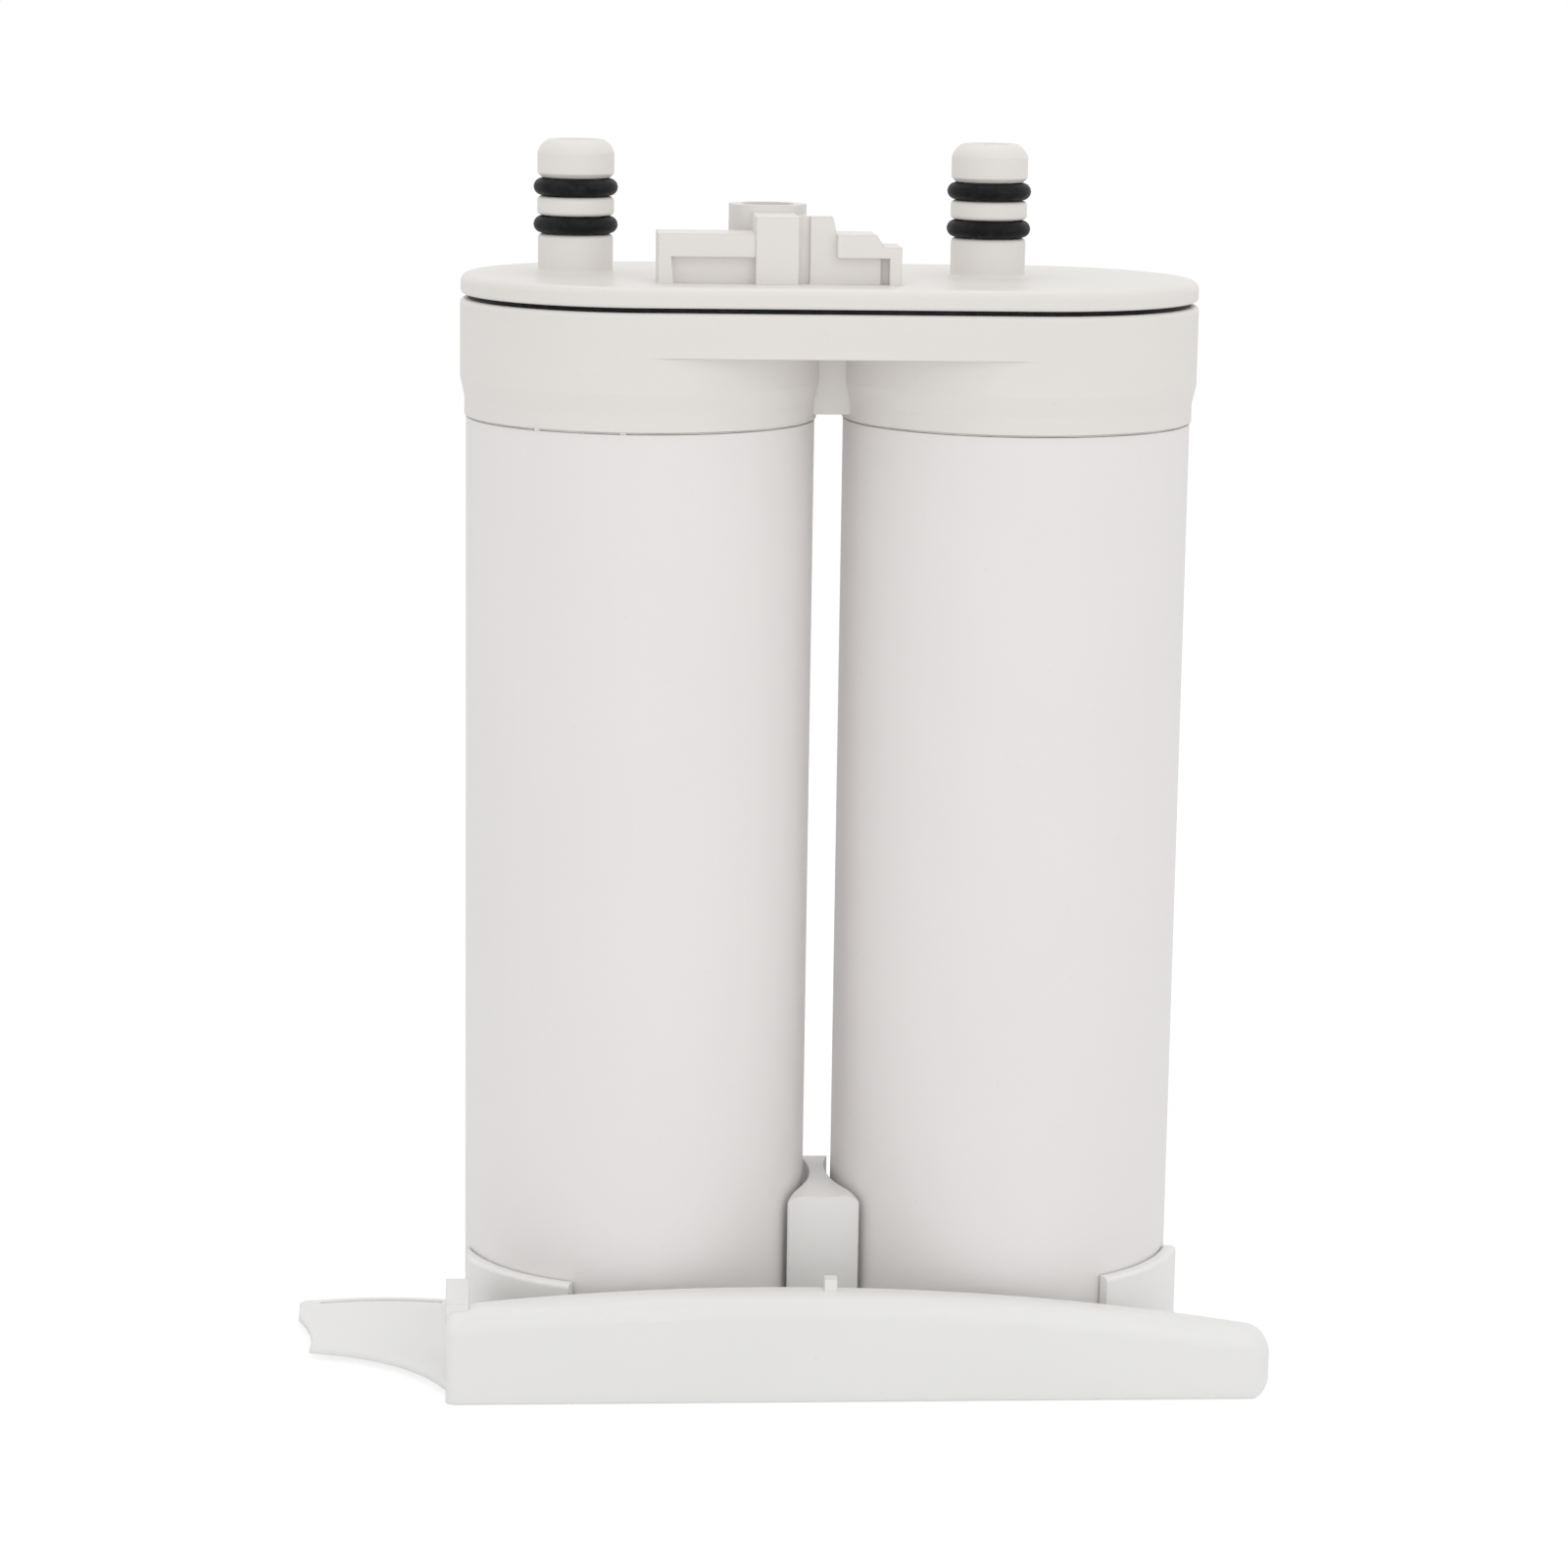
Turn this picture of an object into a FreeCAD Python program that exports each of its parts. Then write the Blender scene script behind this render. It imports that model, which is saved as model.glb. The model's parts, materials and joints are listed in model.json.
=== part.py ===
import FreeCAD, Part
import math
import os
import re
import Sketcher

# Twin-canister plug-in water filter cartridge standing in its carrier.
# Millimetres, +Z up, Z = 0 is the face the carrier's cover stands on.
# +X runs from the inlet canister to the outlet canister, -Y is the front.

os.makedirs("parts", exist_ok=True)
doc = FreeCAD.newDocument("filter_cartridge")
sheet = doc.addObject("Spreadsheet::Sheet", "Dims")
V = FreeCAD.Vector

SIZES = [
    # canisters
    ("canister_r", "33"),
    ("canister_gap", "5.6"),
    ("shell_height", "175.8"),
    ("shell_wall", "2.6"),
    ("shell_floor", "3"),
    ("shell_foot_round", "2.5"),
    ("shell_lip_r", "0.9"),
    ("shell_lip_rise", "9"),
    ("centring_r", "8"),
    ("centring_wall", "1.8"),
    ("centring_rise", "3"),
    # head
    ("seam_gap", "0.4"),
    ("skirt_proud", "0.3"),
    ("head_proud", "1.1"),
    ("plate_proud", "1"),
    ("skirt_straight", "3.4"),
    ("skirt_taper", "3.6"),
    ("skirt_height", "13.6"),
    ("skirt_fit", "0.12"),
    ("slab_thick", "8.2"),
    ("slab_floor", "2.4"),
    ("head_wall", "2.4"),
    ("head_rim_round", "0.9"),
    ("web_depth", "16"),
    ("web_rise", "1"),
    ("reveal", "0.9"),
    ("gasket_inset", "1.5"),
    ("chamber_wall", "2"),
    ("left_ring_r", "6"),
    ("right_ring_r", "12"),
    ("corridor_half", "5"),
    ("water_hole_r", "2.5"),
    ("water_hole_circle", "20"),
    ("nib_wide", "1.2"),
    # plate
    ("plate_thick", "3.8"),
    ("plate_round", "1.6"),
    ("plate_under_round", "0.7"),
    # spigots
    ("inlet_out", "12.45"),
    ("outlet_in", "6.1"),
    ("spigot_r", "7.2"),
    ("spigot_base_r", "7.05"),
    ("spigot_bore_r", "3.4"),
    ("spigot_root", "0.9"),
    ("base_rise", "7.4"),
    ("collar_rise", "3.5"),
    ("nose_rise", "7.1"),
    ("nose_taper", "2.1"),
    ("nose_taper_rise", "2.5"),
    ("edge_break", "0.8"),
    ("ring_section_r", "1.6"),
    ("ring_room", "0.3"),
    ("ring_outer_r", "7.95"),
    ("ring_ease", "0.05"),
    # key bracket
    ("bracket_mid", "11.2"),
    ("bracket_long", "44.8"),
    ("bracket_front", "24"),
    ("bracket_deep", "12"),
    ("bracket_rise", "9.1"),
    ("bracket_step_in", "4.7"),
    ("bracket_step_slant", "1.5"),
    ("bracket_step_drop", "2.2"),
    ("latch_rise", "4.9"),
    ("latch_deep", "1.8"),
    ("latch_end_left", "2.4"),
    ("latch_end_right", "2.2"),
    ("latch_leg_slant", "0.5"),
    ("slot_deep", "0.9"),
    ("slot_wide", "1.5"),
    ("key_wide", "7.9"),
    ("key_off", "4.5"),
    ("key_rise", "12.3"),
    ("key_proud", "0.5"),
    ("fin_gap", "2.2"),
    ("fin_wide", "4.1"),
    ("fin_thick", "3.4"),
    ("fin_slant", "0.8"),
    ("boss_off", "1.2"),
    ("boss_r", "7.3"),
    ("boss_bore_r", "4.9"),
    ("boss_bore_deep", "8"),
    ("boss_rise", "13.6"),
    ("boss_back", "4"),
    # filter element
    ("element_gap", "4.9"),
    ("cap_disc", "2.5"),
    ("cap_rim", "1.4"),
    ("cap_rim_rise", "3.5"),
    ("wrap_thick", "1.2"),
    ("wrap_ease", "0.1"),
    ("core_r", "6"),
    ("core_bore_r", "4.4"),
    ("core_hole_r", "1.3"),
    ("core_hole_pitch", "12"),
    ("neck_r", "8.9"),
    ("neck_bore_r", "5"),
    ("neck_rise", "17.3"),
    ("neck_groove_low", "12.4"),
    ("neck_groove_wide", "2.5"),
    ("neck_groove_r", "7.2"),
    ("neck_ring_r", "0.95"),
    ("socket_ease", "0.3"),
    ("socket_wall", "2.2"),
    ("socket_drop", "10"),
    ("stub_ease", "0.2"),
    # carrier
    ("panel_thick", "2.2"),
    ("cradle_floor", "2.8"),
    ("clip_gap", "0.35"),
    ("clip_thick", "2.2"),
    ("clip_rise", "14.7"),
    ("clip_start_left", "12.5"),
    ("clip_start_right", "16.7"),
    ("clip_stop_y", "7.4"),
    ("clip_round", "2"),
    ("clip_top_round", "0.8"),
    ("window_r", "17"),
    ("post_gap", "1.3"),
    ("post_rise", "28"),
    ("post_front", "19"),
    ("post_back", "9"),
    ("post_crown", "24"),
    ("post_round", "0.6"),
    ("post_shoulder", "3"),
    ("stud_r", "2"),
    ("stud_fit", "0.15"),
    ("stud_rise", "2.4"),
    ("stud_in", "12"),
    ("stud_apart", "26"),
    # cover
    ("front_clear", "11"),
    ("rear_clear", "1"),
    ("side_clear", "3.45"),
    ("nose_clear", "14.8"),
    ("wall_left_rise", "17.3"),
    ("wall_right_rise", "12.2"),
    ("wall_crown_r", "552"),
    ("wall_skin", "2.7"),
    ("wall_hollow", "3.6"),
    ("wall_edge_round", "4.2"),
    ("wall_corner_round", "2"),
    ("end_round", "5"),
    ("foot_round", "3.2"),
    ("foot_bow", "6"),
    ("end_side_long", "8"),
    ("side_wall_thick", "4.4"),
    ("side_wall_rise", "18.7"),
    ("side_wall_long", "18.7"),
    ("wing_out", "26.4"),
    ("wing_rear_in", "20.15"),
    ("wing_rear_r", "52"),
    ("wing_lift", "1"),
    ("wing_scoop_deep", "28"),
    ("wing_scoop_r", "35.0"),
    ("wing_tip_out", "29.3"),
    ("wing_tip_flat", "9.4"),
    ("scoop_foot", "5.2"),
    ("notch_r", "45"),
    ("wing_join_r", "9"),
    ("groove_in", "1.2"),
    ("line_wide", "1"),
    ("line_deep", "0.5"),
    ("panel_corner", "4"),
    ("panel_shoulder", "13.6"),
    ("panel_edge", "0.35"),
    ("nib_rise", "4.5"),
]

DERIVED = [
    ("axis_x", "=canister_r + canister_gap / 2"),
    ("seat_z", "=panel_thick + cradle_floor"),
    ("seam_z", "=seat_z + shell_height"),
    ("skirt_z", "=seam_z + seam_gap"),
    ("slab_z", "=skirt_z + skirt_height"),
    ("head_top_z", "=slab_z + slab_thick"),
    ("plate_z", "=head_top_z + reveal"),
    ("plate_top_z", "=plate_z + plate_thick"),
    ("head_r", "=canister_r + head_proud"),
    ("skirt_r", "=canister_r + skirt_proud"),
    ("plate_r", "=canister_r + plate_proud"),
    ("lip_r", "=canister_r - shell_lip_r"),
    ("shell_in_r", "=canister_r - shell_wall"),
    ("inlet_x", "=-(axis_x + inlet_out)"),
    ("outlet_x", "=axis_x - outlet_in"),
    ("groove_r", "=ring_outer_r - 2 * ring_section_r - ring_ease"),
    ("ring_mid_r", "=ring_outer_r - ring_section_r"),
    ("groove_wide", "=2 * ring_section_r + ring_room"),
    ("low_groove_z", "=plate_top_z + base_rise"),
    ("collar_z", "=low_groove_z + groove_wide"),
    ("high_groove_z", "=collar_z + collar_rise"),
    ("nose_z", "=high_groove_z + groove_wide"),
    ("spigot_top_z", "=nose_z + nose_rise"),
    ("bracket_x0", "=-bracket_mid - bracket_long / 2"),
    ("bracket_x1", "=-bracket_mid + bracket_long / 2"),
    ("bracket_top_z", "=plate_top_z + bracket_rise"),
    ("latch_top_z", "=plate_top_z + latch_rise"),
    ("centring_top_z", "=seat_z + shell_floor + centring_rise"),
    ("block_z", "=centring_top_z + cap_disc"),
    ("cap_r", "=shell_in_r - 2.2"),
    ("wrap_r", "=cap_r - cap_rim - wrap_ease"),
    ("block_r", "=wrap_r - wrap_thick"),
    ("block_top_z", "=slab_z - element_gap - neck_rise + 1.9 - cap_disc"),
    ("neck_z", "=block_top_z + cap_disc"),
    ("socket_r", "=neck_r + socket_ease"),
    ("neck_ring_mid_r", "=socket_r - 0.02 - neck_ring_r"),
    ("cradle_z", "=panel_thick"),
    ("clip_in_r", "=canister_r + clip_gap"),
    ("clip_out_r", "=clip_in_r + clip_thick"),
    ("clip_top_z", "=seat_z + clip_rise"),
    ("post_side_r", "=canister_r + post_gap"),
    ("post_neck", "=axis_x - post_side_r"),
    ("post_half", "=axis_x - sqrt(post_side_r * post_side_r - post_front * post_front)"),
    ("post_half_back", "=axis_x - sqrt(post_side_r * post_side_r - post_back * post_back)"),
    ("front_y", "=-(canister_r + front_clear)"),
    ("rear_y", "=canister_r + rear_clear"),
    ("wing_rear", "=rear_y - wing_rear_in"),
    ("cover_x0", "=-(axis_x + canister_r + side_clear)"),
    ("cover_x1", "=axis_x + canister_r + nose_clear"),
    ("panel_x1", "=axis_x + canister_r + side_clear"),
    ("wing_x", "=cover_x0 - wing_out"),
    ("wing_tip_x", "=cover_x0 - wing_tip_out"),
    ("wing_front_y", "=front_y + wing_scoop_deep"),
    ("clip_cut_x", "=canister_r - 0.5"),
    ("key_x0", "=-bracket_mid - key_off"),
    ("key_x1", "=key_x0 + key_wide"),
    ("fin_x0", "=key_x1 + fin_gap"),
    ("fin_x1", "=fin_x0 + fin_wide"),
    ("fin_foot_x", "=fin_x1 + fin_slant"),
    ("boss_x", "=-bracket_mid - boss_off"),
]


def fillSheet():
    row = 0
    for name, text in SIZES + DERIVED:
        row += 1
        cell = "A" + str(row)
        sheet.set(cell, text)
        sheet.setAlias(cell, name)
    doc.recompute()


def amount(text):
    # a sum or difference of sheet names and plain numbers
    total = 0.0
    for sign, word in re.findall(r"([+-]?)\s*([A-Za-z_]\w*|\d+\.?\d*)", text):
        value = float(sheet.get(word)) if word[0].isalpha() else float(word)
        total += -value if sign == "-" else value
    return total


def bound(text):
    return re.sub(r"([A-Za-z_]\w*)", r"Dims.\1", text)


def body(name):
    made = doc.addObject("PartDesign::Body", name)
    made.Label = name
    return made


def originPlane(owner, role):
    for item in owner.Origin.OriginFeatures:
        if item.Role == role:
            return item
    raise ValueError(role)


def sketch(owner, name, role="XY_Plane", lift=None, across=None):
    sk = owner.newObject("Sketcher::SketchObject", name)
    sk.AttachmentSupport = [(originPlane(owner, role), "")]
    sk.MapMode = "FlatFace"
    if lift is not None:
        sk.setExpression(".AttachmentOffset.Base.z", bound(lift))
    if across is not None:
        sk.setExpression(".AttachmentOffset.Base.x", bound(across))
    return sk


def pin(sk, geo, pos, x, y):
    # hold one sketch point at a sheet position
    for kind, text in (("DistanceX", x), ("DistanceY", y)):
        index = sk.addConstraint(Sketcher.Constraint(kind, -1, 1, geo, pos, amount(text)))
        sk.setExpression("Constraints[%d]" % index, bound(text))


def radius(sk, geo, text):
    index = sk.addConstraint(Sketcher.Constraint("Radius", geo, amount(text)))
    sk.setExpression("Constraints[%d]" % index, bound(text))


def circle(sk, x, y, r):
    geo = sk.addGeometry(Part.Circle(V(amount(x), amount(y), 0), V(0, 0, 1), amount(r)))
    pin(sk, geo, 3, x, y)
    radius(sk, geo, r)
    return geo


def outline(sk, steps):
    # closed loop of (x, y, bend): bend is the way on from the point before,
    # None for straight, or (side, radius) with side +1 turning left
    points = [V(amount(x), amount(y), 0) for x, y, bend in steps]
    ends = []
    for i, (x, y, bend) in enumerate(steps):
        a = points[i - 1]
        b = points[i]
        if bend is None:
            geo = sk.addGeometry(Part.LineSegment(a, b))
            ends.append((geo, 1, 2))
            continue
        side, r = bend
        size = amount(r)
        half = (b - a).Length / 2
        left = V(-(b - a).y, (b - a).x, 0).normalize()
        centre = (a + b) * 0.5 + left * (side * math.sqrt(max(size * size - half * half, 0)))
        first, last = (a, b) if side > 0 else (b, a)
        turn0 = math.atan2((first - centre).y, (first - centre).x)
        turn1 = math.atan2((last - centre).y, (last - centre).x)
        ring = Part.Circle(centre, V(0, 0, 1), size)
        geo = sk.addGeometry(Part.ArcOfCircle(ring, turn0, turn1))
        ends.append((geo, 1, 2) if side > 0 else (geo, 2, 1))
    for i in range(len(ends)):
        before = ends[i - 1]
        now = ends[i]
        sk.addConstraint(Sketcher.Constraint("Coincident", before[0], before[2], now[0], now[1]))
    for i, (x, y, bend) in enumerate(steps):
        pin(sk, ends[i][0], ends[i][2], x, y)
        if bend is not None:
            radius(sk, ends[i][0], bend[1])


def box(sk, x0, y0, x1, y1):
    outline(sk, [(x0, y0, None), (x1, y0, None), (x1, y1, None), (x0, y1, None)])


def flip(text):
    # the same sum with every sign turned over
    signed = re.findall(r"([+-]?)\s*([A-Za-z_]\w*|\d+\.?\d*)", text)
    return "".join(("+" if sign == "-" else "-") + word for sign, word in signed).lstrip("+")


def stadium(sk, half, r):
    # two half circles joined by straight sides
    outline(sk, [
        (half, flip(r), None),
        (half + "+" + r, "0", (1, r)),
        (half, r, (1, r)),
        ("-" + half, r, None),
        ("-" + half + flip(r), "0", (1, r)),
        ("-" + half, flip(r), (1, r)),
    ])


def pad(owner, sk, name, length, reverse=False):
    made = owner.newObject("PartDesign::Pad", name)
    made.Profile = sk
    made.setExpression("Length", bound(length))
    made.Reversed = reverse
    sk.Visibility = False
    return made


def pocket(owner, sk, name, length, reverse=False):
    made = owner.newObject("PartDesign::Pocket", name)
    made.Profile = sk
    made.setExpression("Length", bound(length))
    made.Reversed = reverse
    return made


def turned(owner, sk, name, cut=False):
    made = owner.newObject("PartDesign::Groove" if cut else "PartDesign::Revolution", name)
    made.Profile = sk
    made.ReferenceAxis = (sk, ["V_Axis"])
    made.Angle = 360
    return made


def edgesWhere(owner, keep):
    return ["Edge%d" % (i + 1) for i, e in enumerate(owner.Tip.Shape.Edges) if keep(e)]


def roundEdges(owner, name, size, keep, kind="PartDesign::Fillet"):
    doc.recompute()
    before = owner.Tip
    names = edgesWhere(owner, keep)
    if not names:
        raise ValueError(owner.Label + " " + name + " found no edges")
    made = owner.newObject(kind, name)
    made.Base = (before, names)
    made.setExpression("Radius" if kind.endswith("Fillet") else "Size", bound(size))
    return made


def near(a, b, slack=0.02):
    return abs(a - b) < slack


def middle(e):
    return e.valueAt((e.FirstParameter + e.LastParameter) / 2)


def level(e, z):
    return near(e.BoundBox.ZMin, z) and near(e.BoundBox.ZMax, z)


def place(owner, x):
    owner.setExpression(".Placement.Base.x", bound(x))


# carrier: face cover

def faceCover():
    cover = body("face_cover")
    front = sketch(cover, "wall_elevation", "XZ_Plane", lift="-front_y-wall_skin-wall_hollow")
    outline(front, [
        ("cover_x0", "0", None),
        ("cover_x1-foot_round", "0", None),
        ("cover_x1", "foot_round", (1, "foot_bow")),
        ("cover_x1", "wall_right_rise", None),
        ("cover_x0", "wall_left_rise", (1, "wall_crown_r")),
    ])
    pad(cover, front, "front_wall", "wall_skin+wall_hollow")
    end_x = amount("cover_x1")
    end_z = amount("wall_right_rise")
    roundEdges(cover, "wall_end_corner", "end_round", lambda e: (
        near(e.BoundBox.XMin, end_x) and level(e, end_z)))
    front_y = amount("front_y")
    crown = amount("wall_left_rise")
    roundEdges(cover, "wall_edge", "wall_edge_round", lambda e: (
        near(middle(e).y, front_y) and middle(e).z > crown and e.BoundBox.XLength > 60))
    roundEdges(cover, "wall_corner", "wall_corner_round", lambda e: (
        near(middle(e).y, front_y) and near(e.BoundBox.XLength, 0)
        and near(middle(e).x, amount("cover_x0"))))
    hollow = sketch(cover, "hollow_elevation", "XZ_Plane",
                    lift="-front_y-wall_skin-wall_hollow")
    box(hollow, "cover_x0+side_wall_thick", "panel_thick+0.6",
        "-nib_wide-nib_wide", "wall_left_rise-wall_skin")
    box(hollow, "nib_wide+nib_wide", "panel_thick+0.6",
        "cover_x1-end_round-wall_skin", "wall_right_rise-wall_skin")
    pocket(cover, hollow, "wall_hollow_cut", "wall_hollow", reverse=True)
    plan = sketch(cover, "cover_plan")
    outline(plan, [
        ("cover_x0", "front_y+wall_skin", None),
        ("cover_x1-end_round", "front_y+wall_skin", None),
        ("cover_x1-end_round", "front_y+end_side_long", None),
        ("panel_x1", "-panel_shoulder", None),
        ("panel_x1", "rear_y-panel_corner", None),
        ("panel_x1-panel_corner", "rear_y", (1, "panel_corner")),
        ("cover_x0+wing_join_r", "rear_y", None),
        ("cover_x0", "wing_rear", (-1, "wing_join_r+panel_corner")),
        ("wing_x", "wing_rear", (1, "wing_rear_r")),
        ("wing_tip_x", "wing_rear-3", (1, "2.4")),
        ("wing_tip_x", "wing_rear-wing_tip_flat", None),
        ("wing_x", "wing_front_y", (-1, "notch_r")),
        ("cover_x0", "front_y+scoop_foot", (-1, "wing_scoop_r")),
    ])
    pad(cover, plan, "panel", "panel_thick")
    under = sketch(cover, "wing_under_plan")
    box(under, "wing_tip_x-1", "front_y", "cover_x0", "rear_y")
    pocket(cover, under, "wing_underside", "wing_lift", reverse=True)
    side = sketch(cover, "side_wall_plan")
    box(side, "cover_x0", "front_y+wall_skin", "cover_x0+side_wall_thick",
        "front_y+side_wall_long")
    pad(cover, side, "side_wall", "side_wall_rise")
    nib = sketch(cover, "nib_elevation", "YZ_Plane", lift="-nib_wide")
    box(nib, "front_y+wall_skin+1", "panel_thick", "front_y+wall_skin+wall_hollow",
        "wall_left_rise+nib_rise+1")
    pad(cover, nib, "wall_nib", "nib_wide+nib_wide")
    line = sketch(cover, "wing_line_plan", lift="panel_thick")
    outline(line, [
        ("wing_x+groove_in", "wing_rear-groove_in-line_wide", None),
        ("cover_x0-groove_in", "wing_rear-groove_in-line_wide", (-1, "wing_rear_r")),
        ("cover_x0-groove_in", "wing_rear-groove_in", None),
        ("wing_x+groove_in", "wing_rear-groove_in", (1, "wing_rear_r")),
    ])
    pocket(cover, line, "wing_line", "line_deep")
    studs = sketch(cover, "stud_plan", lift="panel_thick")
    studRing(studs, "stud_r")
    pad(cover, studs, "studs", "stud_rise")
    roundEdges(cover, "panel_edge_break", "panel_edge", lambda e: (
        level(e, amount("panel_thick")) and middle(e).x < amount("cover_x0") - 0.5
        and middle(e).y < amount("wing_rear") - 3), "PartDesign::Chamfer")
    return cover


def studRing(sk, r):
    for side in ("", "-"):
        for way in ("", "-"):
            circle(sk, side + "axis_x" + (side or "+") + "stud_in", way + "stud_apart", r)


# carrier: cradle frame

def clipOutline(sk, side, way, cut):
    # curved wall around one canister: side +1 right, way -1 front
    def x(text):
        return text if side > 0 else flip(text)

    def y(text):
        return text if way > 0 else flip(text)

    turn = side * way
    hand = "right" if side > 0 else "left"
    start = "clip_start_" + hand
    start_in = "clip_in_y_" + hand
    start_out_x = "clip_out_x_" + hand
    start_out = "clip_out_y_" + hand
    if cut:
        # trimmed straight across, level with the carrier's end
        end = [
            (x("axis_x+clip_cut_x"), y("clip_cut_in_y"), (-turn, "clip_in_r")),
            (x("axis_x+clip_cut_x"), y("clip_cut_out_y"), None),
        ]
    else:
        end = [
            (x("axis_x+clip_stop_in_x"), y("clip_stop_y"), (-turn, "clip_in_r")),
            (x("axis_x+clip_stop_out_x"), y("clip_stop_out_y"), None),
        ]
    outline(sk, [
        (x("axis_x+" + start), y(start_in), None),
        *end,
        (x("axis_x+" + start_out_x), y(start_out), (turn, "clip_out_r")),
    ])


def postShoulder(sk, side):
    # what the post loses at one top corner, seen from the front
    def x(text):
        return text if side > 0 else flip(text)

    top = "seat_z+post_rise"
    outline(sk, [
        (x("post_half-post_shoulder"), top + "+1", None),
        (x("post_half+1"), top + "+1", None),
        (x("post_half+1"), top + "-post_shoulder", None),
        (x("post_half"), top + "-post_shoulder", None),
        (x("post_half-post_shoulder"), top, (side, "post_shoulder")),
    ])


def cradleFrame():
    frame = body("cradle_frame")
    plan = sketch(frame, "floor_plan", lift="cradle_z")
    stadium(plan, "axis_x", "clip_in_r+1")
    pad(frame, plan, "floor", "cradle_floor")
    for number, (side, way) in enumerate(((1, -1), (-1, -1), (1, 1), (-1, 1))):
        clip = sketch(frame, "clip_plan_%d" % number, lift="cradle_z")
        clipOutline(clip, side, way, side < 0)
        pad(frame, clip, "clip_wall_%d" % number, "clip_top_z-cradle_z")
    post = sketch(frame, "post_plan", lift="cradle_z")
    outline(post, [
        ("-post_half", "-post_front", (-1, "post_side_r")),
        ("post_half", "-post_front", (1, "post_crown")),
        ("post_half_back", "post_back", (-1, "post_side_r")),
        ("-post_half_back", "post_back", None),
    ])
    pad(frame, post, "centre_post", "seat_z+post_rise-cradle_z")
    windows = sketch(frame, "window_plan", lift="cradle_z")
    circle(windows, "axis_x", "0", "window_r")
    circle(windows, "-axis_x", "0", "window_r")
    pocket(frame, windows, "windows", "cradle_floor", reverse=True)
    holes = sketch(frame, "stud_hole_plan", lift="cradle_z")
    studRing(holes, "stud_r+stud_fit")
    pocket(frame, holes, "stud_holes", "cradle_floor", reverse=True)
    top_z = amount("seat_z+post_rise")
    front = -amount("post_front")
    roundEdges(frame, "post_corners", "post_round", lambda e: (
        near(e.BoundBox.YMin, front) and near(e.BoundBox.YMax, front)
        and e.BoundBox.XLength < 0.1 and near(e.BoundBox.ZMax, top_z)))
    shoulders = sketch(frame, "post_shoulder_elevation", "XZ_Plane", lift="-post_back")
    for side in (1, -1):
        postShoulder(shoulders, side)
    pocket(frame, shoulders, "post_shoulders", "clip_out_r", reverse=True)
    stop = amount("axis_x") + amount("clip_stop_in_x") - 0.5
    clip_z = amount("clip_top_z")
    roundEdges(frame, "clip_corners", "clip_round", lambda e: (
        level(e, clip_z) and e.BoundBox.XMin > stop and e.BoundBox.XLength > 2))
    outer = amount("clip_out_r")
    roundEdges(frame, "clip_top_edges", "clip_top_round", lambda e: (
        level(e, clip_z) and near(getattr(e.Curve, "Radius", 0), outer)))
    return frame


# cartridge: port plate

def spigotProfile(sk):
    outline(sk, [
        ("spigot_bore_r", "plate_z", None),
        ("spigot_base_r+spigot_root", "plate_z", None),
        ("spigot_base_r+spigot_root", "plate_top_z", None),
        ("spigot_base_r", "plate_top_z+spigot_root", (-1, "spigot_root")),
        ("spigot_base_r", "low_groove_z-edge_break", None),
        ("spigot_base_r-edge_break", "low_groove_z", (1, "edge_break")),
        ("groove_r", "low_groove_z", None),
        ("groove_r", "collar_z", None),
        ("spigot_r-edge_break", "collar_z", None),
        ("spigot_r", "collar_z+edge_break", (1, "edge_break")),
        ("spigot_r", "high_groove_z-edge_break", None),
        ("spigot_r-edge_break", "high_groove_z", (1, "edge_break")),
        ("groove_r", "high_groove_z", None),
        ("groove_r", "nose_z", None),
        ("spigot_r-edge_break", "nose_z", None),
        ("spigot_r", "nose_z+edge_break", None),
        ("spigot_r", "spigot_top_z-nose_taper_rise", None),
        ("spigot_r-nose_taper", "spigot_top_z", (1, "nose_bend_r")),
        ("spigot_bore_r+edge_break", "spigot_top_z", None),
        ("spigot_bore_r", "spigot_top_z-edge_break", None),
    ])


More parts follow.
